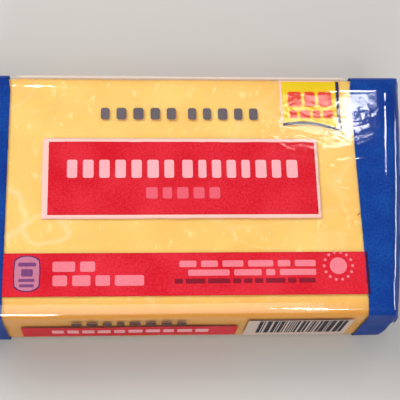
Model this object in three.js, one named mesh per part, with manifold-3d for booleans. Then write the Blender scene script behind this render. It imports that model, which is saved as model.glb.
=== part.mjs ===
// A one-pound block of cheddar sealed in its film, lying flat. Sizes are in millimetres.
// X runs along the block, Y from its front to its back, Z up. The underside lies on Z = 0, and the
// origin is under the middle of the pack. The film is one tube drawn round the block: its seam runs
// along the underside, and each end is tucked in at the sides, crimped flat and folded down.
import * as THREE from 'three';
import { mergeVertices } from 'three/addons/utils/BufferGeometryUtils.js';
import Module from 'manifold-3d';

const wasm = await Module();
wasm.setup();

// The block, measured over its film. The cut ends run a little off square and bulge at mid-depth.
const LENGTH = 148.2;
const DEPTH = 89;
const HEIGHT = 32.5;
const CROWN = 0.4;
const END_SKEW = 0.09;
const END_BULGE = 0.8;
const CORNER = 1.6;

// The film rounds the top edges more softly at the back than at the front, and the feet tightly.
const TOP_DROP = 4.2;
const TOP_SHOULDER = { front: 5, back: 7.5, end: 6.5 };
const FOOT_RISE = 2.8;
const FOOT_SHOULDER = { front: 2.6, back: 2.6, end: 3 };

// Each end: an upper and a lower flap slope out to the seal's root, with a tuck at either side.
const FLAP_TOP = 28;
const FLAP_FOOT = 3.4;
const FLAP_REACH = 2.4;
const TUCK = 8;
const SEAL_ROOT = 16.4;

// The crimped seal, folded down from its root over the lower flap, with a zigzag cut edge.
const SEAL_WIDTH = 82;
const SEAL_DROP = 10.8;
const SEAL_THICKNESS = 1;
const SEAL_LEAN = 0.9;
const TOOTH_PITCH = 2.05;
const TOOTH_DEPTH = 0.9;

// The tube's own seam, pressed flat in a shallow dip along the middle of the underside.
const SEAM_WIDTH = 12;
const SEAM_END_GAP = 9;
const DIP_WIDTH = 20;
const DIP_DEPTH = 0.5;

const FOOT_STEPS = 5;
const SHOULDER_STEPS = 8;
const CROWN_STEPS = 5;
const SIDE_STEPS = 10;
const CURVE_STEPS = 6;

// How deep a joined piece reaches into its neighbour, so that the two fuse.
const BURY = 1.5;

// Half the block's length at y, before the skew is added.
const halfLength = (y) => LENGTH / 2 + END_BULGE * (1 - (2 * y / DEPTH) ** 2);

// The X of the right end's face at y.
const endFace = (y) => END_SKEW * y + halfLength(y);

function geometryOf(points, triangles) {
  const geometry = new THREE.BufferGeometry();
  geometry.setAttribute('position', new THREE.Float32BufferAttribute(points.flat(), 3));
  geometry.setIndex(triangles.flat());
  return geometry;
}

// Bands of triangles between closed rings of points, each ring anticlockwise seen from the last one.
function bandsBetween(ringCount, ringLength) {
  const triangles = [];
  for (let ring = 0; ring + 1 < ringCount; ring += 1) {
    for (let i = 0; i < ringLength; i += 1) {
      const a = ring * ringLength + i;
      const b = ring * ringLength + (i + 1) % ringLength;
      triangles.push([a, b, b + ringLength], [a, b + ringLength, a + ringLength]);
    }
  }
  return triangles;
}

// The block's outline from above, each side set in by its own amount.
function outline({ front, back, end }) {
  const near = -DEPTH / 2 + front;
  const far = DEPTH / 2 - back;
  const right = (y) => END_SKEW * y + halfLength(y) - end;
  const left = (y) => END_SKEW * y - halfLength(y) + end;
  const path = new THREE.Path();
  const alongTo = (x, y) => {
    const start = path.currentPoint.clone();
    for (let i = 1; i <= SIDE_STEPS; i += 1) {
      path.lineTo(THREE.MathUtils.lerp(start.x, x, i / SIDE_STEPS), y);
    }
  };
  const bulgeTo = (end, y) => {
    const start = path.currentPoint.clone();
    const middle = (start.y + y) / 2;
    const control = 2 * end(middle) - (start.x + end(y)) / 2;
    path.quadraticCurveTo(control, middle, end(y), y);
  };
  path.moveTo(left(near) + CORNER, near);
  alongTo(right(near) - CORNER, near);
  path.quadraticCurveTo(right(near), near, right(near + CORNER), near + CORNER);
  bulgeTo(right, far - CORNER);
  path.quadraticCurveTo(right(far), far, right(far) - CORNER, far);
  alongTo(left(far) + CORNER, far);
  path.quadraticCurveTo(left(far), far, left(far - CORNER), far - CORNER);
  bulgeTo(left, near + CORNER);
  path.quadraticCurveTo(left(near), near, left(near) + CORNER, near);
  return path.getPoints(CURVE_STEPS).slice(0, -1);
}

// The block as rings stacked from its flat underside, over the shoulders, to the middle of its top.
function blockGeometry() {
  const rings = [];
  const addRing = (shoulder, share, z) => {
    const inset = {};
    for (const side of Object.keys(shoulder)) inset[side] = shoulder[side] * share;
    rings.push(outline(inset).map((point) => [point.x, point.y, z]));
  };
  for (let i = 0; i <= FOOT_STEPS; i += 1) {
    const angle = Math.PI / 2 * i / FOOT_STEPS;
    addRing(FOOT_SHOULDER, 1 - Math.sin(angle), FOOT_RISE * (1 - Math.cos(angle)));
  }
  const rim = HEIGHT - CROWN;
  for (let i = 0; i <= SHOULDER_STEPS; i += 1) {
    const angle = Math.PI / 2 * i / SHOULDER_STEPS;
    addRing(TOP_SHOULDER, 1 - Math.cos(angle), rim - TOP_DROP * (1 - Math.sin(angle)));
  }
  const edge = rings[rings.length - 1];
  for (let i = 1; i < CROWN_STEPS; i += 1) {
    const reach = 1 - i / CROWN_STEPS;
    rings.push(edge.map(([x, y]) => [x * reach, y * reach, rim + CROWN * (1 - reach ** 2)]));
  }
  const ringLength = rings[0].length;
  const points = [...rings.flat(), [0, 0, 0], [0, 0, HEIGHT]];
  const triangles = bandsBetween(rings.length, ringLength);
  const lastRing = (rings.length - 1) * ringLength;
  const foot = rings.length * ringLength;
  for (let i = 0; i < ringLength; i += 1) {
    const next = (i + 1) % ringLength;
    triangles.push([next, i, foot], [lastRing + i, lastRing + next, foot + 1]);
  }
  return geometryOf(points, triangles);
}

// A piece that runs along the end from front to back: section(y) gives its closed outline at y as
// [x, z] pairs, and flat fans shut its two ends.
function alongEnd(stations, section) {
  const sections = stations.map((y) => section(y).map(([x, z]) => [x, y, z]));
  const corners = sections[0].length;
  const last = (sections.length - 1) * corners;
  const triangles = bandsBetween(sections.length, corners);
  for (let i = 1; i + 1 < corners; i += 1) {
    triangles.push([0, i + 1, i], [last, last + i, last + i + 1]);
  }
  return geometryOf(sections.flat(), triangles);
}

// The two flaps over an end face. They meet at the seal's root and fall back to the face at the tucks.
function flapsGeometry() {
  const half = DEPTH / 2 - CORNER;
  const stations = [];
  for (let i = 0; i <= 2 * SIDE_STEPS; i += 1) stations.push(half * (i / SIDE_STEPS - 1));
  for (const side of [-1, 1]) stations.push(side * (half - TUCK));
  stations.sort((a, b) => a - b);
  const sunk = -0.2;
  return alongEnd(stations, (y) => {
    const share = Math.min(1, (half - Math.abs(y)) / TUCK);
    const face = endFace(y);
    return [
      [face - BURY, FLAP_FOOT],
      [face - BURY, FLAP_TOP],
      [face + sunk, FLAP_TOP],
      [face + THREE.MathUtils.lerp(sunk, FLAP_REACH, share), SEAL_ROOT],
      [face + sunk, FLAP_FOOT],
    ];
  });
}

// The crimped seal: a thin strip that hangs from its root, with teeth along its cut edge.
function sealGeometry() {
  const teeth = Math.round(SEAL_WIDTH / TOOTH_PITCH);
  const stations = [];
  for (let i = 0; i <= 2 * teeth; i += 1) stations.push(SEAL_WIDTH * (i / (2 * teeth) - 0.5));
  return alongEnd(stations, (y) => {
    const inner = endFace(y) + FLAP_REACH - SEAL_THICKNESS / 2;
    const notch = Math.round((y / SEAL_WIDTH + 0.5) * 2 * teeth) % 2 ? TOOTH_DEPTH : 0;
    const foot = SEAL_ROOT - SEAL_DROP + notch;
    return [
      [inner + SEAL_LEAN, foot],
      [inner, SEAL_ROOT + SEAL_THICKNESS / 2],
      [inner + SEAL_THICKNESS, SEAL_ROOT + SEAL_THICKNESS / 2],
      [inner + SEAL_LEAN + SEAL_THICKNESS, foot],
    ];
  });
}

function slab(length, width, low, high) {
  return new THREE.BoxGeometry(length, width, high - low).translate(0, 0, (low + high) / 2);
}

function solidOf(geometry) {
  const bare = geometry.clone();
  bare.deleteAttribute('normal');
  bare.deleteAttribute('uv');
  const merged = mergeVertices(bare, 1e-3);
  return new wasm.Manifold(new wasm.Mesh({
    numProp: 3,
    vertProperties: new Float32Array(merged.attributes.position.array),
    triVerts: new Uint32Array(merged.index.array),
  }));
}

function geometryFrom(solid) {
  const mesh = solid.getMesh();
  const geometry = new THREE.BufferGeometry();
  geometry.setAttribute('position', new THREE.BufferAttribute(mesh.vertProperties, 3));
  geometry.setIndex(new THREE.BufferAttribute(mesh.triVerts, 1));
  geometry.computeVertexNormals();
  return geometry;
}

function packGeometry() {
  const dip = slab(2 * LENGTH, DIP_WIDTH, -DIP_DEPTH, DIP_DEPTH);
  const seam = slab(LENGTH - 2 * SEAM_END_GAP, SEAM_WIDTH, 0, 2 * DIP_DEPTH);
  let pack = solidOf(blockGeometry()).subtract(solidOf(dip)).add(solidOf(seam));
  for (const turn of [0, Math.PI]) {
    for (const piece of [flapsGeometry(), sealGeometry()]) {
      pack = pack.add(solidOf(piece.rotateZ(turn)));
    }
  }
  return geometryFrom(pack);
}

// Clear and printed film over pale orange-yellow cheese, seen as one glossy colour.
const filmOverCheese = new THREE.MeshStandardMaterial({
  color: new THREE.Color().setRGB(0.99, 0.81, 0.48, THREE.SRGBColorSpace),
  roughness: 0.25,
  metalness: 0,
});

const cheddarBlock = new THREE.Mesh(packGeometry(), filmOverCheese);
cheddarBlock.name = 'wrapped_cheddar_block';

const group = new THREE.Group();
group.add(cheddarBlock);

export default group;
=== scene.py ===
import bmesh
import bpy
import math
import random
from mathutils import Euler, Matrix, Vector


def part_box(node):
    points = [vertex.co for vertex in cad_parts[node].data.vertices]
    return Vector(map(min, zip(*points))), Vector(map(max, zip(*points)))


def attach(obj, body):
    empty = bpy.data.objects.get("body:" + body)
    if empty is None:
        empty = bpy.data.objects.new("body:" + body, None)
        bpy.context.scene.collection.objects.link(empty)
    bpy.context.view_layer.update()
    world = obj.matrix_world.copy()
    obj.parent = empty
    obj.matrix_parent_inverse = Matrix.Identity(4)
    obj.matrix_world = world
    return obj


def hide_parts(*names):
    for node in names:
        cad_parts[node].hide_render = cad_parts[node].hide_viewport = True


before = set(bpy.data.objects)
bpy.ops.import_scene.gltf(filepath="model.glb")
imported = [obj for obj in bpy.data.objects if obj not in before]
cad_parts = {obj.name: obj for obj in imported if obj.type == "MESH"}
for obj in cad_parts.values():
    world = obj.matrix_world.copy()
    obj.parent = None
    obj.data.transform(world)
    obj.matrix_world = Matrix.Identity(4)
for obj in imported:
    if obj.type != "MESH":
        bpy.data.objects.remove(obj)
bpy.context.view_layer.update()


# The cheese: one firm piece of medium cheddar, cut with wires from a forty-pound block.
# Its curds are pressed together so closely that only faint knit lines and a few paler flecks show,
# and the drawn film has softened its edges, most of all along the back.
mm = 0.001
tiny = 0.02 * mm
pack = "wrapped_cheddar_block"
pack_low, pack_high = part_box(pack)
pack_length = 148.2 * mm
pack_depth = pack_high.y - pack_low.y
pack_height = pack_high.z
end_skew = 0.09
end_bulge = 0.8 * mm
dip_width = 20 * mm
dip_depth = 0.5 * mm
dip_slope = 2 * mm
gap_at_end = 0.9 * mm
gap_in_front = 0.6 * mm
gap_behind = 0.9 * mm
gap_above = 0.7 * mm
gap_below = 0.35 * mm


def use(piece):
    """Selects this piece alone and makes it the active one."""
    bpy.ops.object.select_all(action="DESELECT")
    piece.select_set(True)
    bpy.context.view_layer.objects.active = piece


def edit(piece):
    """Opens this piece alone in edit mode."""
    use(piece)
    bpy.ops.object.mode_set(mode="EDIT")


def leave_edit():
    """Closes the piece that is open in edit mode."""
    bpy.ops.object.mode_set(mode="OBJECT")


def pick(kind, test):
    """In edit mode, selects the vertices, edges or faces that pass a test, and nothing else."""
    bpy.ops.mesh.select_mode(type=kind)
    bpy.ops.mesh.select_all(action="DESELECT")
    shape = bmesh.from_edit_mesh(bpy.context.object.data)
    for part in {"VERT": shape.verts, "EDGE": shape.edges, "FACE": shape.faces}[kind]:
        part.select = test(part)
    shape.select_flush_mode()
    bmesh.update_edit_mesh(bpy.context.object.data)


def apply_modifier(piece, kind, **settings):
    """Adds a modifier with these settings and applies it."""
    use(piece)
    modifier = piece.modifiers.new(kind.lower(), kind)
    for name, value in settings.items():
        setattr(modifier, name, value)
    bpy.ops.object.modifier_apply(modifier=modifier.name)


def softened_box(name, low, high, drop, foot, front, back, end):
    """A box with its top edges rounded `drop` deep, as wide as each side says, and its feet by `foot`."""
    centre, size = (low + high) / 2, high - low
    bpy.ops.mesh.primitive_cube_add(size=1, location=centre, scale=size)
    piece = bpy.context.object
    piece.name = name
    bpy.ops.object.transform_apply(location=True, rotation=True, scale=True)
    edit(piece)
    pick("EDGE", lambda edge: all(v.co.z > high.z - tiny for v in edge.verts))
    bpy.ops.mesh.bevel(offset=drop, offset_type="OFFSET", segments=8, profile=0.5)
    pick("EDGE", lambda edge: all(v.co.z < low.z + tiny for v in edge.verts))
    bpy.ops.mesh.bevel(offset=foot, offset_type="OFFSET", segments=5, profile=0.5)
    shoulder = high.z - drop - tiny
    for edge_y, width in ((low.y, front), (high.y, back)):
        pick("VERT", lambda v: v.co.z > shoulder and abs(v.co.y - edge_y) < drop + tiny)
        bpy.ops.transform.resize(value=(1, width / drop, 1), center_override=(0, edge_y, 0))
    for edge_x in (low.x, high.x):
        pick("VERT", lambda v: v.co.z > shoulder and abs(v.co.x - edge_x) < drop + tiny)
        bpy.ops.transform.resize(value=(end / drop, 1, 1), center_override=(edge_x, 0, 0))
    leave_edit()
    return piece


def relief(piece, name, kind, size, strength, level=0.5, group="", stretch=(1, 1, 1), **settings):
    """Raises and sinks a piece's surface along its normals by a solid texture of this size."""
    texture = bpy.data.textures.new(name, kind)
    texture.noise_scale = size
    for key, value in settings.items():
        setattr(texture, key, value)
    bpy.ops.object.empty_add(location=(0, 0, 0))
    grid = bpy.context.object
    grid.scale = stretch
    bpy.context.view_layer.update()
    apply_modifier(
        piece, "DISPLACE", texture=texture, strength=strength, mid_level=level,
        vertex_group=group, texture_coords="OBJECT", texture_coords_object=grid,
    )
    bpy.data.objects.remove(grid)


def slant(piece):
    """Slants the piece as the block was cut, a little off square, and bulges its ends at mid-depth."""
    for vertex in piece.data.vertices:
        across = 2 * vertex.co.y / pack_depth
        along = 2 * vertex.co.x / pack_length
        vertex.co.x += end_skew * vertex.co.y + end_bulge * along * (1 - across ** 2)


def level_underside(piece, ground):
    """Flattens the underside at this height, with a shallow dip along its middle for the film's seam."""
    for vertex in piece.data.vertices:
        vertex.co.z = max(vertex.co.z, ground)
        if vertex.co.z < ground + dip_depth:
            rise = (dip_width / 2 - abs(vertex.co.y)) / dip_slope
            vertex.co.z += dip_depth * max(0, min(1, rise))


def new_material(name):
    """A material whose node tree holds only its output. Returns the material and the tree."""
    material = bpy.data.materials.new(name)
    material.use_nodes = True
    tree = material.node_tree
    tree.nodes.clear()
    tree.nodes.new("ShaderNodeOutputMaterial")
    return material, tree


def feed(tree, socket, value):
    """Links another socket to this one, or sets this one to a plain value."""
    if isinstance(value, bpy.types.NodeSocket):
        tree.links.new(value, socket)
    else:
        socket.default_value = value


def add(tree, kind, **values):
    """Adds a node to the tree. A value feeds the input of that name, or else sets a property."""
    node = tree.nodes.new("ShaderNode" + kind)
    for name, value in values.items():
        title = name.replace("_", " ")
        if title in node.inputs:
            feed(tree, node.inputs[title], value)
        else:
            setattr(node, name, value)
    return node


def reckon(tree, operation, *values):
    """Adds a Math node fed with these sockets or numbers, in order, and returns its result."""
    node = add(tree, "Math", operation=operation)
    for socket, value in zip(node.inputs, values):
        feed(tree, socket, value)
    return node.outputs["Value"]


def ranged(tree, value, start, end, low=0, high=1):
    """Runs from `low` to `high` as a value goes from start to end, and stays there beyond them."""
    node = add(tree, "MapRange", Value=value, From_Min=start, From_Max=end, To_Min=low, To_Max=high)
    return node.outputs["Result"]


def blend(tree, share, first, second):
    """Mixes two colours, each a socket or a plain colour, by a share from 0 to 1."""
    mix = add(tree, "Mix", data_type="RGBA")
    first_colour, second_colour, mixed_colour = mix.inputs[6], mix.inputs[7], mix.outputs[2]
    feed(tree, mix.inputs["Factor"], share)
    feed(tree, first_colour, first)
    feed(tree, second_colour, second)
    return mixed_colour


def show(tree, shader):
    """Links a shader to the material's output."""
    output = next(node for node in tree.nodes if node.type == "OUTPUT_MATERIAL")
    tree.links.new(shader, output.inputs["Surface"])


def colour(red, green, blue):
    """A screen colour, from 0 to 255, as the linear colour that shaders take."""
    def linear(part):
        part /= 255
        return part / 12.92 if part <= 0.04045 else ((part + 0.055) / 1.055) ** 2.4
    return (linear(red), linear(green), linear(blue), 1)


cheese_low = Vector((-pack_length / 2 + gap_at_end, -pack_depth / 2 + gap_in_front, gap_below))
cheese_high = Vector((pack_length / 2 - gap_at_end, pack_depth / 2 - gap_behind, pack_height - gap_above))
cheese = softened_box(
    "cheddar_block", cheese_low, cheese_high,
    drop=4 * mm, foot=2.4 * mm, front=5.6 * mm, back=6.5 * mm, end=6 * mm,
)
apply_modifier(cheese, "REMESH", mode="VOXEL", voxel_size=1.1 * mm, use_smooth_shade=True)
apply_modifier(cheese, "SMOOTH", factor=0.5, iterations=3)
relief(cheese, "wire_drag", "CLOUDS", size=18 * mm, strength=0.35 * mm, level=1)
relief(cheese, "curd_knit", "VORONOI", size=7 * mm, strength=0.22 * mm, level=1)
slant(cheese)
level_underside(cheese, cheese_low.z)

# Two loose rings where the film lets go of the cheese: x, y, half length and half width, in millimetres.
contact_rings = ((-47, -14, 7.6, 5), (-62.3, -8, 8, 9.4))
contact_pale = colour(255, 219, 168)
ring_wander = 3 * mm
front_face = -pack_depth / 2


def contact_rim(tree, value, level, width, strength, under):
    """A colour, with a faint pale rim over it where a value crosses this level."""
    distance = reckon(tree, "ABSOLUTE", reckon(tree, "SUBTRACT", value, level))
    rim = ranged(tree, distance, start=0, end=width, low=strength, high=0)
    return blend(tree, rim, under, contact_pale)


def cheddar_material():
    """Soft orange paste that lets some light through, mottled and flecked, with painted shade that
    deepens it along the front.
    """
    material, tree = new_material("cheddar")
    place = add(tree, "TexCoord").outputs["Object"]
    mottle = add(tree, "TexNoise", Vector=place, Scale=45, Detail=5, Roughness=0.55)
    paste = add(tree, "ValToRGB", Fac=mottle.outputs["Fac"])
    paste.color_ramp.elements[0].position = 0.3
    paste.color_ramp.elements[0].color = colour(248, 190, 97)
    paste.color_ramp.elements[1].position = 0.72
    paste.color_ramp.elements[1].color = colour(253, 206, 117)
    drawn_out = add(tree, "Mapping", Vector=place, Scale=(430, 240, 430))
    flecks = add(tree, "TexNoise", Vector=drawn_out.outputs["Vector"], Scale=1, Detail=2, Roughness=0.5)
    fleck_mask = ranged(tree, flecks.outputs["Fac"], start=0.61, end=0.74, high=0.6)
    flecked = blend(tree, fleck_mask, paste.outputs["Color"], colour(255, 226, 158))
    clinging = add(tree, "TexNoise", Vector=place, Scale=24, Detail=1.2, Roughness=0.4, Distortion=0.7)
    rimmed = contact_rim(
        tree, clinging.outputs["Fac"], level=0.56, width=0.012, strength=0.22, under=flecked,
    )
    unevenness = add(tree, "TexNoise", Vector=place, Scale=100, Detail=2, Roughness=0.5)
    wandering = add(tree, "VectorMath", operation="MULTIPLY_ADD")
    feed(tree, wandering.inputs[0], unevenness.outputs["Color"])
    feed(tree, wandering.inputs[1], (2 * ring_wander, 2 * ring_wander, 0))
    feed(tree, wandering.inputs[2], place)
    for x, y, half_length, half_width in contact_rings:
        oval = add(
            tree, "Mapping", vector_type="TEXTURE", Vector=wandering.outputs["Vector"],
            Location=(x * mm + ring_wander, y * mm + ring_wander, 0),
            Scale=(half_length * mm, half_width * mm, 1),
        )
        reach = add(tree, "VectorMath", operation="LENGTH", Vector=oval.outputs["Vector"])
        rimmed = contact_rim(
            tree, reach.outputs["Value"], level=1, width=0.24, strength=0.5, under=rimmed,
        )
    across = add(tree, "SeparateXYZ", Vector=place).outputs["Y"]
    # Painted shade: over the last few millimetres towards the front face the paste turns deeper
    # orange-brown, standing in for that face lying in shadow.
    front_shade_share = ranged(tree, across, start=front_face + 8.5 * mm, end=front_face + 1.5 * mm, high=0.9)
    with_front_shade = blend(tree, front_shade_share, rimmed, colour(222, 148, 40))
    grain = add(tree, "TexNoise", Vector=place, Scale=900, Detail=4, Roughness=0.6)
    bump = add(tree, "Bump", Strength=0.25, Distance=0.2 * mm, Height=grain.outputs["Fac"])
    skin = add(
        tree, "BsdfPrincipled", Base_Color=with_front_shade, Roughness=0.42, IOR=1.45,
        Normal=bump.outputs["Normal"], Subsurface_Weight=0.6,
        Subsurface_Radius=(6 * mm, 3 * mm, 1 * mm), Subsurface_Scale=1,
    )
    show(tree, skin.outputs["BSDF"])
    return material


def dress(piece, material):
    """Gives the piece its material, and makes it stand for the pack and move with it."""
    piece.data.materials.clear()
    piece.data.materials.append(material)
    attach(piece, "root")
    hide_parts(pack)


use(cheese)
bpy.ops.object.shade_smooth()
dress(cheese, cheddar_material())


# The film: one clear plastic tube drawn tight round the cheese, thinner than a hair.
# It touches the cheese almost everywhere, stands a little proud of its back edge, and at each end it
# is tucked in at the sides, so that an upper and a lower flap meet at the crimped seal.
film_top = pack_height - 0.25 * mm
shoulder_drop = 4.2 * mm
flap_reach = 2.4 * mm
seal_root = 16.4 * mm
tuck_line = pack_depth / 2 - 8 * mm
window_edge = 60 * mm
slack_start = 0.44 * pack_length
slack_run = 0.06 * pack_length
least_slack = 0.05

film = softened_box(
    "clear_film",
    Vector((-pack_length / 2, -pack_depth / 2, 0)),
    Vector((pack_length / 2, pack_depth / 2, film_top)),
    drop=shoulder_drop, foot=2.8 * mm, front=6.2 * mm, back=7.5 * mm, end=6.5 * mm,
)


def cut(place, normal, drop_outer=False):
    """In edit mode, cuts the whole piece along a plane, and may drop what lies beyond it."""
    bpy.ops.mesh.select_mode(type="FACE")
    bpy.ops.mesh.select_all(action="SELECT")
    bpy.ops.mesh.bisect(plane_co=place, plane_no=normal, clear_outer=drop_outer)


edit(film)
cut((0, 0, seal_root), (0, 0, 1))
for side in (-1, 1):
    cut((0, side * tuck_line, 0), (0, 1, 0))
for end in (-1, 1):
    face = end * pack_length / 2
    pick("VERT", lambda v: abs(v.co.x - face) < tiny and abs(v.co.z - seal_root) < tiny
         and abs(v.co.y) < tuck_line + tiny)
    bpy.ops.transform.translate(value=(end * flap_reach, 0, 0))
leave_edit()
apply_modifier(film, "REMESH", mode="VOXEL", voxel_size=0.9 * mm, use_smooth_shade=True)
apply_modifier(film, "SMOOTH", factor=0.5, iterations=3)

slack = film.vertex_groups.new(name="slack")
for vertex in film.data.vertices:
    outwards = (abs(vertex.co.x) - slack_start) / slack_run
    downwards = (film_top - vertex.co.z) / (2 * shoulder_drop)
    slack.add([vertex.index], max(least_slack, min(1, outwards) * min(1, downwards)), "REPLACE")
relief(
    film, "drawn_waves", "CLOUDS", size=30 * mm, strength=0.4 * mm,
    noise_depth=1, stretch=(1.6, 0.8, 1),
)
relief(
    film, "end_gathers", "CLOUDS", size=9 * mm, strength=1.1 * mm, group="slack",
    noise_depth=2, stretch=(2, 0.8, 0.8),
)
slant(film)
level_underside(film, 0)
use(film)
bpy.ops.object.shade_smooth()


def new_group(name, given, made):
    """A shader node group with these named sockets in and out, and its two end nodes."""
    group = bpy.data.node_groups.new(name, "ShaderNodeTree")
    for in_out, sockets in (("INPUT", given), ("OUTPUT", made)):
        for title, kind in sockets.items():
            group.interface.new_socket(name=title, in_out=in_out, socket_type="NodeSocket" + kind)
    return group, group.nodes.new("NodeGroupInput"), group.nodes.new("NodeGroupOutput")


def film_creases():
    """A node group for the film's fine creases, as a height for a Bump node."""
    group, given, made = new_group(
        "film_creases", {"Place": "Vector", "Fineness": "Float"}, {"Height": "Float"},
    )
    stretched = add(group, "Mapping", Vector=given.outputs["Place"], Scale=(0.6, 1, 1))
    noise = add(
        group, "TexNoise", Vector=stretched.outputs["Vector"], Scale=given.outputs["Fineness"],
        Detail=2, Roughness=0.5, Distortion=0.6,
    )
    feed(group, made.inputs["Height"], noise.outputs["Fac"])
    return group


creases = film_creases()


def creased_normal(tree, fineness, strength):
    """The normal of creased film, from the shared group."""
    folds = add(tree, "Group", node_tree=creases)
    feed(tree, folds.inputs["Place"], add(tree, "TexCoord").outputs["Object"])
    feed(tree, folds.inputs["Fineness"], fineness)
    bump = add(tree, "Bump", Strength=strength, Distance=1 * mm, Height=folds.outputs["Height"])
    return bump.outputs["Normal"]


def layered(tree, share, under, over):
    """Mixes two shaders by the upper one's share."""
    mix = add(tree, "MixShader", Fac=share)
    feed(tree, mix.inputs[1], under)
    feed(tree, mix.inputs[2], over)
    return mix.outputs["Shader"]


def clear_film_material():
    """Clear film, glossy on its outer side, and milky along the back where it stands off the cheese."""
    material, tree = new_material("clear_film")
    normal = creased_normal(tree, fineness=230, strength=0.065)
    clear = add(tree, "BsdfTransparent", Color=(0.985, 0.985, 0.98, 1))
    milky = add(tree, "BsdfDiffuse", Color=colour(252, 240, 228))
    place = add(tree, "SeparateXYZ", Vector=add(tree, "TexCoord").outputs["Object"])
    back_face = pack_depth / 2
    at_back = ranged(tree, place.outputs["Y"], start=back_face - 2.6 * mm, end=back_face - 1.4 * mm)
    up_high = ranged(tree, place.outputs["Z"], start=23 * mm, end=26 * mm, high=0.55)
    off_middle = reckon(tree, "ABSOLUTE", place.outputs["X"])
    in_window = ranged(tree, off_middle, start=window_edge, end=window_edge - 4 * mm)
    loose = reckon(tree, "MULTIPLY", at_back, reckon(tree, "MULTIPLY", up_high, in_window))
    body = layered(tree, loose, clear.outputs["BSDF"], milky.outputs["BSDF"])
    gloss = add(tree, "BsdfGlossy", Color=(1, 1, 1, 1), Roughness=0.06, Normal=normal)
    glance = add(tree, "Fresnel", IOR=1.5, Normal=normal)
    most_gloss = 0.065
    held = reckon(tree, "MINIMUM", glance.outputs["Fac"], most_gloss)
    outside = reckon(tree, "SUBTRACT", 1, add(tree, "NewGeometry").outputs["Backfacing"])
    share = reckon(tree, "MULTIPLY", held, outside)
    show(tree, layered(tree, share, body, gloss.outputs["BSDF"]))
    return material


dress(film, clear_film_material())


# The blue ends: both ends of the film are printed solid blue, round all four sides and the flaps.
# The ink lies on the film's inner face, so it follows every crease and the clear film glosses it.
ink_depth = 0.12 * mm
blue_thickness = 0.05 * mm
right_lean = 0.009
print_drift = 0.9 * mm
drift_start = 7 * mm
drift_run = 5 * mm
drift_width = 8 * mm


def copy_of(piece, name):
    """A copy of a piece with a mesh of its own."""
    twin = piece.copy()
    twin.data = piece.data.copy()
    twin.name = name
    for key in [key for key in twin.keys() if key.startswith("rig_")]:
        del twin[key]
    bpy.context.collection.objects.link(twin)
    return twin


def wall(piece, thickness):
    """Gives a sheet its thickness, inwards, or outwards if it is below zero, and closes its rim."""
    apply_modifier(piece, "SOLIDIFY", thickness=thickness, offset=-1, use_rim=True)


def print_grain():
    """A node group for printed ink: faint mottling of its colour and of its sheen."""
    group, given, made = new_group(
        "print_grain", {"Ink": "Color", "Worn Ink": "Color"}, {"Color": "Color", "Roughness": "Float"},
    )
    place = add(group, "TexCoord").outputs["Object"]
    broad = add(group, "TexNoise", Vector=place, Scale=60, Detail=3)
    fine = add(group, "TexNoise", Vector=place, Scale=1400, Detail=2)
    both = reckon(group, "ADD", broad.outputs["Fac"], fine.outputs["Fac"])
    worn_share = ranged(group, both, start=0.8, end=1.3)
    mottled = blend(group, worn_share, given.outputs["Ink"], given.outputs["Worn Ink"])
    feed(group, made.inputs["Color"], mottled)
    sheen = ranged(group, fine.outputs["Fac"], start=0, end=1, low=0.4, high=0.6)
    feed(group, made.inputs["Roughness"], sheen)
    return group


grain_of_print = print_grain()


def ink_material(name, ink, worn):
    """Printed ink with its faint mottling, between its own colour and a slightly worn one."""
    material, tree = new_material(name)
    grain = add(tree, "Group", node_tree=grain_of_print)
    feed(tree, grain.inputs["Ink"], ink)
    feed(tree, grain.inputs["Worn Ink"], worn)
    skin = add(
        tree, "BsdfPrincipled", Base_Color=grain.outputs["Color"],
        Roughness=grain.outputs["Roughness"], IOR=1.06,
    )
    show(tree, skin.outputs["BSDF"])
    return material


blue_ink = colour(1, 45, 130)
blue_worn = colour(16, 74, 154)
blue = ink_material("blue_ink", blue_ink, blue_worn)
for side, name, lean in ((-1, "blue_end_left", 0), (1, "blue_end_right", right_lean)):
    blue_end = copy_of(film, name)
    edge = side * (window_edge - lean * pack_depth / 2)
    edit(blue_end)
    cut((edge, 0, 0), (-side, -side * lean, 0), drop_outer=True)
    bpy.ops.mesh.select_all(action="SELECT")
    bpy.ops.transform.shrink_fatten(value=-ink_depth)
    leave_edit()
    for vertex in blue_end.data.vertices:
        behind = max(0, min(1, (vertex.co.y - pack_depth / 2 + drift_start) / drift_run))
        beside = max(0, 1 - (abs(vertex.co.x) - window_edge) / drift_width)
        vertex.co.x += side * print_drift * behind * beside
    wall(blue_end, blue_thickness)
    dress(blue_end, blue)


# The end folds: at each end the tube's upper and lower walls are folded over the tucked-in sides.
# They are the same blue film, laid as two flaps that narrow towards the seal between them.
flap_top = 28 * mm
flap_foot = 3.4 * mm
flap_lift = 0.3 * mm
flap_root_half = 39.2 * mm
flap_edge_half = pack_depth / 2 - 1.6 * mm
flap_thickness = 0.15 * mm
flap_rows, flap_columns = 12, 56


def blue_skin_material():
    """The blue film where it is the outermost layer, with the gloss of the film itself."""
    material, tree = new_material("blue_film")
    grain = add(tree, "Group", node_tree=grain_of_print)
    feed(tree, grain.inputs["Ink"], blue_ink)
    feed(tree, grain.inputs["Worn Ink"], blue_worn)
    normal = creased_normal(tree, fineness=140, strength=0.12)
    skin = add(
        tree, "BsdfPrincipled", Base_Color=grain.outputs["Color"],
        Roughness=0.16, IOR=1.5, Normal=normal,
    )
    show(tree, skin.outputs["BSDF"])
    return material


def upright_grid(rows, columns, height, width, place):
    """A grid of faces that stands upright across the pack and faces its right end."""
    bpy.ops.mesh.primitive_grid_add(
        x_subdivisions=rows, y_subdivisions=columns, size=1, location=place,
        rotation=(0, math.pi / 2, 0),
    )
    grid = bpy.context.object
    grid.scale = (height, width, 1)
    bpy.ops.object.transform_apply(location=True, rotation=True, scale=True)
    return grid


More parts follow.
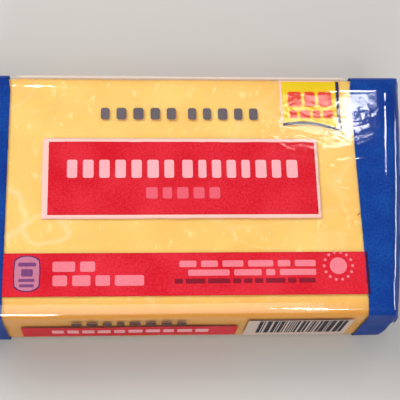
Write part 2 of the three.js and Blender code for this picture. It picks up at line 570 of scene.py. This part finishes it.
def end_sheet(name, low, high, low_half, high_half, low_reach, high_reach):
    """A trapezium of film at the right end. Its half width and its reach change evenly as it rises."""
    face = pack_length / 2
    middle = (face, 0, (low + high) / 2)
    sheet = upright_grid(flap_rows, flap_columns, height=high - low, width=2, place=middle)
    sheet.name = name
    for vertex in sheet.data.vertices:
        share = (vertex.co.z - low) / (high - low)
        vertex.co.y *= low_half + share * (high_half - low_half)
        vertex.co.x = face + low_reach + share * (high_reach - low_reach)
    return sheet


blue_skin = blue_skin_material()
upper_flap = end_sheet(
    "upper_flap", seal_root, flap_top,
    low_half=flap_root_half, high_half=flap_edge_half, low_reach=flap_reach + flap_lift, high_reach=0,
)
lower_flap = end_sheet(
    "lower_flap", flap_foot, seal_root,
    low_half=flap_edge_half, high_half=flap_root_half, low_reach=0, high_reach=flap_reach + flap_lift,
)
upper_flap.select_set(True)
bpy.context.view_layer.objects.active = upper_flap
bpy.ops.object.join()
flaps = upper_flap
edit(flaps)
bpy.ops.mesh.select_all(action="SELECT")
bpy.ops.mesh.remove_doubles(threshold=tiny)
bpy.ops.mesh.normals_make_consistent(inside=False)
leave_edit()
relief(
    flaps, "fold_gathers", "CLOUDS", size=11 * mm, strength=0.5 * mm,
    noise_depth=2, stretch=(1, 0.5, 1.6),
)
wall(flaps, -flap_thickness)


def for_both_ends(right_piece, name, material):
    """Slants the right end's piece into place, and turns a copy of it round for the left end."""
    left_piece = copy_of(right_piece, name + "_left")
    left_piece.data.transform(Matrix.Rotation(math.pi, 4, "Z"))
    right_piece.name = name + "_right"
    for piece in (left_piece, right_piece):
        slant(piece)
        use(piece)
        bpy.ops.object.shade_smooth_by_angle(angle=math.radians(40))
        dress(piece, material)


for_both_ends(flaps, "end_flaps", blue_skin)


# The crimped seals: hot toothed jaws press both walls of the tube into one strip at each end.
# It has fine upright ribs and a zigzag cut edge, and it is folded down over the lower flap.
seal_width = 82 * mm
seal_drop = 10.8 * mm
seal_foot = seal_root - seal_drop
seal_lean = 0.9 * mm
seal_lift = 0.5 * mm
seal_thickness = 0.25 * mm
fold_radius = 0.9 * mm
fold_sink = 1.6 * mm
tooth_count = 40
tooth_pitch = seal_width / tooth_count
tooth_depth = 0.9 * mm
tooth_middle = -seal_width / 2 + tooth_pitch / 2
rib_height = 0.32 * mm
rib_top = seal_root - 1.5 * mm

seal_middle = (pack_length / 2 + flap_reach, tooth_middle, seal_root - seal_drop / 2)
seal = upright_grid(rows=10, columns=4, height=seal_drop, width=tooth_pitch, place=seal_middle)
edit(seal)
pick("VERT", lambda v: v.co.z < seal_foot + tiny
     and abs(v.co.y - tooth_middle) > tooth_pitch / 2 - tiny)
bpy.ops.transform.translate(value=(0, 0, tooth_depth))
pick("VERT", lambda v: v.co.z < seal_foot + tiny + tooth_depth
     and tiny < abs(v.co.y - tooth_middle) < tooth_pitch / 2 - tiny)
bpy.ops.transform.translate(value=(0, 0, tooth_depth / 2))
pick("VERT", lambda v: v.co.z < rib_top
     and abs(abs(v.co.y - tooth_middle) - tooth_pitch / 4) < tiny)
bpy.ops.transform.translate(value=(rib_height, 0, 0))
leave_edit()
apply_modifier(
    seal, "ARRAY", count=tooth_count, use_relative_offset=False, use_constant_offset=True,
    constant_offset_displace=(0, tooth_pitch, 0), use_merge_vertices=True, merge_threshold=tiny,
)
for vertex in seal.data.vertices:
    drop = seal_root + fold_radius - vertex.co.z
    lean = seal_lean * (seal_root - vertex.co.z) / seal_drop
    bend = max(0, 1 - drop / (2 * fold_radius))
    vertex.co.x += seal_lift + lean - fold_sink * bend ** 2
relief(seal, "seal_wave", "CLOUDS", size=12 * mm, strength=0.7 * mm, stretch=(1, 1, 2))
wall(seal, -seal_thickness)
for_both_ends(seal, "end_seal", blue_skin)


# The tube's own seam: the two edges of the film are sealed together in a ribbed strip along the
# underside. It is folded flat to one side, in a shallow dip that the drawn film leaves, and its ends
# are printed blue.
seam_end = pack_length / 2 - 9 * mm
seam_width = 12 * mm
seam_thickness = 0.1 * mm
seam_lift = 0.12 * mm
seam_rib_pitch = 1.5 * mm
seam_rib_height = 0.14 * mm
seam_columns = round(2 * seam_end / (seam_rib_pitch / 2))
bpy.ops.mesh.primitive_grid_add(
    x_subdivisions=seam_columns, y_subdivisions=8, size=1, location=(0, 0, 0), rotation=(math.pi, 0, 0),
)
seam = bpy.context.object
seam.name = "seam_window"
seam.scale = (2 * seam_end, seam_width, 1)
bpy.ops.object.transform_apply(location=True, rotation=True, scale=True)
for vertex in seam.data.vertices:
    column = round((vertex.co.x + seam_end) / (2 * seam_end) * seam_columns)
    inside_edge = seam_width / 2 - abs(vertex.co.y) > tiny
    vertex.co.z = seam_lift + (seam_rib_height if column % 2 and inside_edge else 0)
blue_seam = copy_of(seam, "seam_blue")
edit(seam)
for side in (-1, 1):
    cut((side * window_edge, 0, 0), (side, 0, 0), drop_outer=True)
leave_edit()
edit(blue_seam)
for side in (-1, 1):
    cut((side * window_edge, 0, 0), (side, 0, 0))
pick("FACE", lambda face: abs(face.calc_center_median().x) < window_edge)
bpy.ops.mesh.delete(type="FACE")
leave_edit()
wall(seam, seam_thickness)
wall(blue_seam, seam_thickness)
dress(blue_seam, blue_skin)


def seam_film_material():
    """Two layers of clear film, clouded where the sealing jaws pressed them together."""
    material, tree = new_material("sealed_film")
    place = add(tree, "TexCoord").outputs["Object"]
    cloud = add(tree, "TexNoise", Vector=place, Scale=160, Detail=3)
    tone = add(tree, "ValToRGB", Fac=cloud.outputs["Fac"])
    tone.color_ramp.elements[0].color = colour(240, 202, 140)
    tone.color_ramp.elements[1].color = colour(246, 226, 192)
    skin = add(tree, "BsdfPrincipled", Base_Color=tone.outputs["Color"], Roughness=0.3)
    show(tree, skin.outputs["BSDF"])
    return material


dress(seam, seam_film_material())


# The printed fields on top: a red name panel in a pale frame, and a red band across the window.
# They are opaque inks on the film's inner face, the frontmost printed first. They are cut here from
# the film's own top, so that they follow it, and each is given by its left, right, near and far edge.
name_panel = (-46.2, 45.2, -8.95, 17.65)
panel_frame = (-48.2, 46.2, -10.25, 18.9)
red_band = (-60, 60, -37, -22.3)
overprint = (60, 60.8, -37, -22.3)
ink_thickness = 0.02 * mm
frame_layer = 1.6 * ink_depth
field_layer = 1.3 * ink_depth
mark_layer = 0.8 * ink_depth
printed_top = copy_of(film, "printed_top")
edit(printed_top)
cut((0, 0, film_top - shoulder_drop), (0, 0, -1), drop_outer=True)
leave_edit()


def top_field(name, edges, depth, material):
    """A field of ink on the film's top, between edges in millimetres, this deep under its surface."""
    field = copy_of(printed_top, name)
    left, right, near, far = (edge * mm for edge in edges)
    edit(field)
    cut((left, 0, 0), (-1, 0, 0), drop_outer=True)
    cut((right, 0, 0), (1, 0, 0), drop_outer=True)
    cut((0, near, 0), (0, -1, 0), drop_outer=True)
    cut((0, far, 0), (0, 1, 0), drop_outer=True)
    bpy.ops.mesh.select_all(action="SELECT")
    bpy.ops.transform.shrink_fatten(value=-depth)
    leave_edit()
    wall(field, ink_thickness)
    dress(field, material)


red = ink_material("red_ink", colour(204, 14, 34), colour(222, 46, 62))
pale = ink_material("pale_ink", colour(240, 191, 182), colour(244, 198, 190))
overprinted = ink_material("red_over_blue", colour(54, 14, 46), colour(62, 20, 54))
top_field("panel_frame", panel_frame, frame_layer, pale)
top_field("name_panel", name_panel, field_layer, red)
top_field("red_band", red_band, field_layer, red)
top_field("red_over_blue", overprint, mark_layer, overprinted)
bpy.data.objects.remove(printed_top)


# The name panel's marks: a row of heavy blocks in two groups, over a short row of small, dimmer ones.
# They are rounded patches of pale ink, printed on the film's inner face before the red behind them.
draw = random.Random(16)
facings = {
    "top": (0, 0, 0),
    "front": (math.pi / 2, 0, 0),
    "back": (math.pi / 2, 0, math.pi),
}


def start_print(name):
    """Starts a new flat piece of print, and opens it in edit mode for its patches."""
    piece = bpy.data.objects.new(name, bpy.data.meshes.new(name))
    bpy.context.collection.objects.link(piece)
    edit(piece)
    return piece


def grid(left, right, low, high, cell=3):
    """Adds a rectangle of cells about this wide to the open print. All sizes are in millimetres."""
    middle = ((left + right) / 2 * mm, (low + high) / 2 * mm, 0)
    columns = max(1, round((right - left) / cell))
    rows = max(1, round((high - low) / cell))
    bpy.ops.mesh.primitive_grid_add(
        x_subdivisions=columns, y_subdivisions=rows, size=1, location=middle,
    )
    bpy.ops.transform.resize(
        value=((right - left) * mm, (high - low) * mm, 1), center_override=middle,
    )


def patch(left, right, low, high, corner):
    """Adds a rectangle with rounded corners to the open print, in millimetres."""
    grid(left, right, low, high)
    pick("VERT", lambda v: min(abs(v.co.x - left * mm), abs(v.co.x - right * mm)) < tiny
         and min(abs(v.co.y - low * mm), abs(v.co.y - high * mm)) < tiny)
    bpy.ops.mesh.bevel(offset=corner * mm, segments=3, affect="VERTICES", clamp_overlap=True)


def disc(x, y, radius, sides):
    """Adds a disc to the open print, in millimetres."""
    bpy.ops.mesh.primitive_circle_add(
        vertices=sides, radius=radius * mm, fill_type="NGON", location=(x * mm, y * mm, 0),
    )


def row_of_patches(left, right, low, high, widths, gap, corner):
    """Adds patches that fill a stretch, with widths in these proportions and gaps between them."""
    scale = (right - left - gap * (len(widths) - 1)) / sum(widths)
    for width in widths:
        patch(left, left + width * scale, low, high, corner)
        left += width * scale + gap


def lay_print(piece, facing, depth, material):
    """Presses the open print against the film from the side that it faces, to this depth under it."""
    leave_edit()
    piece.rotation_euler = facings[facing]
    use(piece)
    bpy.ops.object.transform_apply(location=True, rotation=True, scale=True)
    outward = Vector((0, 0, 1))
    outward.rotate(Euler(facings[facing]))
    outward = Vector([round(part) for part in outward])
    piece.data.transform(Matrix.Translation(outward * pack_depth))
    apply_modifier(
        piece, "SHRINKWRAP", target=film, wrap_method="PROJECT",
        use_project_x=False, use_project_y=outward.y != 0, use_project_z=outward.z != 0,
        use_negative_direction=sum(outward) > 0, use_positive_direction=sum(outward) < 0,
    )
    piece.data.transform(Matrix.Translation(-outward * depth))
    wall(piece, ink_thickness)
    dress(piece, material)


title = start_print("title_blocks")
row_of_patches(-39.9, -3.6, 4.3, 10.9, [draw.uniform(4, 6) for _ in range(7)], gap=1.9, corner=0.7)
row_of_patches(-0.8, 38.9, 4.3, 10.9, [draw.uniform(4, 6) for _ in range(8)], gap=1.9, corner=0.7)
title_pink = ink_material("title_pink", colour(240, 164, 170), colour(244, 178, 184))
lay_print(title, "top", mark_layer, title_pink)

second_line = start_print("second_line_blocks")
row_of_patches(-13.2, 11.9, -3.2, 0.9, [draw.uniform(2.6, 3.6) for _ in range(5)], gap=1.7, corner=0.6)
dim_pink = ink_material("dim_pink", colour(224, 84, 100), colour(230, 100, 114))
lay_print(second_line, "top", mark_layer, dim_pink)


# The marks above the panel: two groups of plain slate blocks, each a rounded patch of ink.
# They are printed on the clear film, so the cheese shows between them.
name_place = start_print("name_blocks")
row_of_patches(-28.6, -2.6, 26, 30.4, [draw.uniform(3, 4) for _ in range(5)], gap=2.4, corner=0.8)
row_of_patches(1.6, 26, 26, 30.4, [draw.uniform(3, 4) for _ in range(5)], gap=2.4, corner=0.8)
slate = ink_material("slate_ink", colour(98, 88, 94), colour(114, 102, 104))
lay_print(name_place, "top", mark_layer, slate)


# The corner flag: a yellow patch by the blue end, with a pale edge at its left and top and a navy line
# down its right side and along its curved foot. It is printed on the film's inner face, like the panel,
# with two rows of red blocks in front of the yellow.
flag_left, flag_right = 34.9, 54.5
flag_top = 41.4
flag_foot = 24.9
foot_crest = 0.8
crest_pace = 1.15
foot_fall = 1.9
fall_power = 2.6
side_bow = 0.4
pale_edge_left, pale_edge_top = 0.7, 0.5
pale_edge_end = flag_right - 1
navy_edge_right, navy_edge_foot = 1.2, 1


def flag(name, left, right, top, drop, depth, material):
    """A patch of the flag's shape, in millimetres. Its foot rises to a low crest and then falls away."""
    piece = start_print(name)
    grid(left, right, 0, top, cell=1.4)
    shape = bmesh.from_edit_mesh(piece.data)
    for vertex in shape.verts:
        along = max(0, (vertex.co.x / mm - flag_left) / (flag_right - flag_left))
        up = vertex.co.y / (top * mm)
        crest = foot_crest * math.sin(math.pi * min(1, along * crest_pace))
        foot = flag_foot + crest - foot_fall * along ** fall_power - drop
        vertex.co.x -= side_bow * mm * along * math.sin(math.pi * up)
        vertex.co.y = (foot + up * (top - foot)) * mm
    bmesh.update_edit_mesh(piece.data)
    lay_print(piece, "top", depth, material)


navy = ink_material("navy_ink", colour(34, 38, 78), colour(44, 48, 86))
yellow = ink_material("yellow_ink", colour(224, 187, 24), colour(228, 194, 40))
flag(
    "flag_pale_edge", flag_left - pale_edge_left, pale_edge_end, flag_top + pale_edge_top,
    drop=0, depth=frame_layer, material=pale,
)
flag(
    "flag_navy_edge", flag_left, flag_right + navy_edge_right, flag_top,
    drop=navy_edge_foot, depth=field_layer, material=navy,
)
flag(
    "flag", flag_left, flag_right, flag_top,
    drop=0, depth=ink_depth, material=yellow,
)
flag_blocks = start_print("flag_blocks")
row_of_patches(37, 52.6, 31.2, 37, [5, 4, 5], gap=1.1, corner=0.8)
row_of_patches(37.4, 52.8, 26.7, 29.8, [3, 4, 3, 4], gap=1, corner=0.6)
flag_red = ink_material("flag_red", colour(216, 54, 28), colour(222, 72, 46))
lay_print(flag_blocks, "top", 0.6 * ink_depth, flag_red)


# The band's marks: a mauve badge with short lines, rows of pale and dark bars, and a plain disc in a
# ring of dots. All are inks on the film's inner face, in front of the red band.
badge_left, badge_right = -56.3, -48.2
badge_low, badge_high = -35, -23.4
badge_corner_drop = 1.5
badge_corner_power = 2.6
badge_side_bow = 0.25


def badge_patch(name, grow, depth, material):
    """The badge's barrel shape, grown by this many millimetres all round."""
    piece = start_print(name)
    left, right = badge_left - grow, badge_right + grow
    low, high = badge_low - grow, badge_high + grow
    grid(left, right, low, high, cell=1.2)
    shape = bmesh.from_edit_mesh(piece.data)
    for vertex in shape.verts:
        across = (2 * vertex.co.x / mm - left - right) / (right - left)
        up = (2 * vertex.co.y / mm - low - high) / (high - low)
        vertex.co.y -= up * (badge_corner_drop * mm) * abs(across) ** badge_corner_power
        vertex.co.x -= across * (badge_side_bow * mm) * up ** 2
    bmesh.update_edit_mesh(piece.data)
    lay_print(piece, "top", depth, material)


mauve = ink_material("mauve_ink", colour(190, 112, 138), colour(198, 126, 150))
purple = ink_material("purple_ink", colour(70, 32, 84), colour(84, 42, 96))
badge_patch("badge_edge", grow=0.35, depth=0.95 * ink_depth, material=purple)
badge_patch("badge", grow=0, depth=0.7 * ink_depth, material=mauve)
badge_lines = start_print("badge_lines")
patch(-55.1, -49.3, -26.8, -25.5, corner=0.4)
patch(-54.1, -50.3, -30.2, -27.7, corner=0.5)
patch(-54.9, -49.7, -32, -31, corner=0.3)
patch(-54.6, -49.9, -33.8, -32.8, corner=0.3)
badge_purple = ink_material("badge_purple", colour(112, 60, 112), colour(124, 72, 122))
lay_print(badge_lines, "top", 0.45 * ink_depth, badge_purple)

weight_bars = start_print("weight_bars")
row_of_patches(-44, -30.1, -28.7, -25.2, [6, 4], gap=1.6, corner=0.6)
row_of_patches(-43.9, -14.1, -33.5, -29.9, [4, 5, 4, 8], gap=1.6, corner=0.6)
weight_pink = ink_material("weight_pink", colour(230, 118, 132), colour(234, 130, 142))
lay_print(weight_bars, "top", mark_layer, weight_pink)

claim_bars = start_print("claim_bars")
row_of_patches(-2.4, 43, -27.3, -25.1, [4, 4, 5, 6, 3, 5], gap=1.5, corner=0.5)
row_of_patches(0.4, 43, -30.3, -28.2, [9, 6, 2, 8], gap=1.5, corner=0.5)
lay_print(claim_bars, "top", mark_layer, weight_pink)

small_bars = start_print("small_bars")
row_of_patches(-4.1, 42.6, -32.9, -31.3, [3, 7, 8, 3, 3, 3, 7, 3, 6], gap=0.9, corner=0.35)
small_dark = ink_material("small_dark", colour(128, 18, 38), colour(136, 26, 44))
lay_print(small_bars, "top", mark_layer, small_dark)

rosette_x, rosette_y = 50.6, -27.2
ring_radius = 4.8
dot_count = 14
rosette = start_print("rosette")
disc(rosette_x, rosette_y, radius=2.9, sides=28)
for dot in range(dot_count):
    angle = math.tau * dot / dot_count
    dot_x = rosette_x + ring_radius * math.cos(angle)
    dot_y = rosette_y + ring_radius * math.sin(angle)
    disc(dot_x, dot_y, radius=0.5, sides=10)
lay_print(rosette, "top", mark_layer, weight_pink)


# The print on the two long sides: a red panel with pale blocks on each, and on the front also a row of
# slate blocks over it and a pale field with upright stripes beside it. The inks are like the top's, on
# the parts of the tube that are drawn down over the sides.
stripes_left, stripes_right = 24.5, 54.5
side_name = start_print("side_name")
row_of_patches(-38, 0, 22.2, 25.6, [draw.uniform(3, 4.4) for _ in range(8)], gap=1.6, corner=0.5)
# The front's name blocks take a darker, browner copy of the slate ink: part the print's own dark tone,
# part painted shade of the front face.
shaded_side_slate = ink_material("shaded_side_slate", colour(74, 54, 50), colour(88, 68, 62))
lay_print(side_name, "front", mark_layer, shaded_side_slate)
for facing in ("front", "back"):
    side_panel = start_print("side_panel_" + facing)
    patch(-55, 17.7, 7, 19.4, corner=0.2)
    lay_print(side_panel, facing, field_layer, red)
    side_blocks = start_print("side_blocks_" + facing)
    row_of_patches(-45, 8, 11.6, 15.8, [draw.uniform(3.4, 5) for _ in range(10)], gap=1.1, corner=0.6)
    lay_print(side_blocks, facing, mark_layer, title_pink)
stripe_field = start_print("stripe_field")
patch(20.5, 56, 6, 26.6, corner=0.2)
field_pale = ink_material("stripe_field_pale", colour(206, 184, 172), colour(214, 194, 182))
lay_print(stripe_field, "front", field_layer, field_pale)
stripes = start_print("stripes")
stripe_left = stripes_left
while stripe_left < stripes_right:
    width = draw.choice((0.4, 0.8, 1.2, 1.6))
    patch(stripe_left, min(stripe_left + width, stripes_right), 9.5, 26, corner=0.02)
    stripe_left += width + draw.choice((0.35, 0.35, 0.7))
stripe_ink = ink_material("stripe_ink", colour(30, 28, 46), colour(38, 36, 54))
lay_print(stripes, "front", mark_layer, stripe_ink)


# A stray fibre: one short dark thread of packing lint, caught under the film by the window's right
# edge. It lies flat against the film, like the print beside it.
fibre_middle = (59 * mm, -8.9 * mm, 0)
fibre_turn = math.radians(-40)
fibre = start_print("stray_fibre")
patch(58.2, 59.8, -9.02, -8.78, corner=0.1)
bpy.ops.mesh.select_all(action="SELECT")
bpy.ops.transform.rotate(value=fibre_turn, orient_axis="Z", center_override=fibre_middle)
fibre_brown = ink_material("fibre_brown", colour(84, 48, 34), colour(96, 58, 42))
lay_print(fibre, "top", mark_layer, fibre_brown)


# The plain floor that the pack lies on, the soft lights over it and the camera.
# They belong to the picture and not to the pack.
bpy.ops.mesh.primitive_plane_add(size=6, location=(0, 0, 0))
floor = bpy.context.object
floor.name = "floor"
floor_material, floor_tree = new_material("pale_floor")
floor_skin = add(floor_tree, "BsdfPrincipled", Base_Color=colour(190, 187, 182), Roughness=0.7)
show(floor_tree, floor_skin.outputs["BSDF"])
floor.data.materials.append(floor_material)


def soft_light(name, azimuth, elevation, width, height, power, over=(0, 0), distance=1.2):
    """A rectangular light that faces a spot of the top, in millimetres. Azimuth runs from +Y to +X."""
    turn, rise = math.radians(azimuth), math.radians(elevation)
    towards = Vector((math.sin(turn) * math.cos(rise), math.cos(turn) * math.cos(rise), math.sin(rise)))
    data = bpy.data.lights.new(name, "AREA")
    data.shape = "RECTANGLE"
    data.size, data.size_y = width, height
    data.energy = power
    light = bpy.data.objects.new(name, data)
    light.location = Vector((over[0] * mm, over[1] * mm, pack_height)) + towards * distance
    light.rotation_euler = towards.to_track_quat("Z", "Y").to_euler()
    bpy.context.scene.collection.objects.link(light)


soft_light("left_window", -58, 42, 1.5, 1.0, power=33, distance=2)
soft_light("right_fill", 85, 10, 0.7, 0.12, power=3)
soft_light("front_window", 180, 58, 0.6, 1.2, power=6.4)
soft_light("front_left_lamp", 187.2, 31.5, 0.1, 0.26, power=2, over=(-56, -42))
soft_light("front_right_lamp", 162, 52.5, 0.06, 0.3, power=1.5, over=(37, -42))
soft_light("back_lamp", 26.8, 62, 0.034, 0.085, power=0.22, over=(57.5, 28.5))
soft_light("back_glow", 27.9, 63.3, 0.01, 0.05, power=0.012, over=(60.6, 26.5))
soft_light("back_smear", 21, 62.8, 0.06, 0.05, power=0.07, over=(49, 23))
soft_light("back_streak", 23, 56.8, 0.055, 0.06, power=0.4, over=(57.5, 36.5))
soft_light("right_lamp", 46.5, 55.8, 0.1, 0.08, power=0.7, over=(71, 20))
soft_light("left_lamp", -7.4, 50, 0.045, 0.11, power=0.55, over=(-52, 38.6))

world = bpy.data.worlds.new("room")
world.use_nodes = True
background = world.node_tree.nodes["Background"]
background.inputs["Color"].default_value = (0.93, 0.96, 1, 1)
background.inputs["Strength"].default_value = 0.2
bpy.context.scene.world = world
bpy.context.scene.view_settings.view_transform = "Standard"

camera_heading = -11.61
camera_dip = 69.52
camera_lean = 10.78
camera_data = bpy.data.cameras.new("camera")
camera_data.lens = 93.3
camera_data.sensor_width = 36
camera_data.clip_start = 0.01
camera = bpy.data.objects.new("camera", camera_data)
camera.location = Vector((-19.7, -123.85, 360.4)) * mm
turn_left = Matrix.Rotation(math.radians(camera_heading), 3, "Z")
tip_up = Matrix.Rotation(math.radians(90 - camera_dip), 3, "X")
roll_over = Matrix.Rotation(math.radians(camera_lean), 3, "Z")
camera.rotation_euler = (turn_left @ tip_up @ roll_over).to_euler()
bpy.context.scene.collection.objects.link(camera)
bpy.context.scene.camera = camera
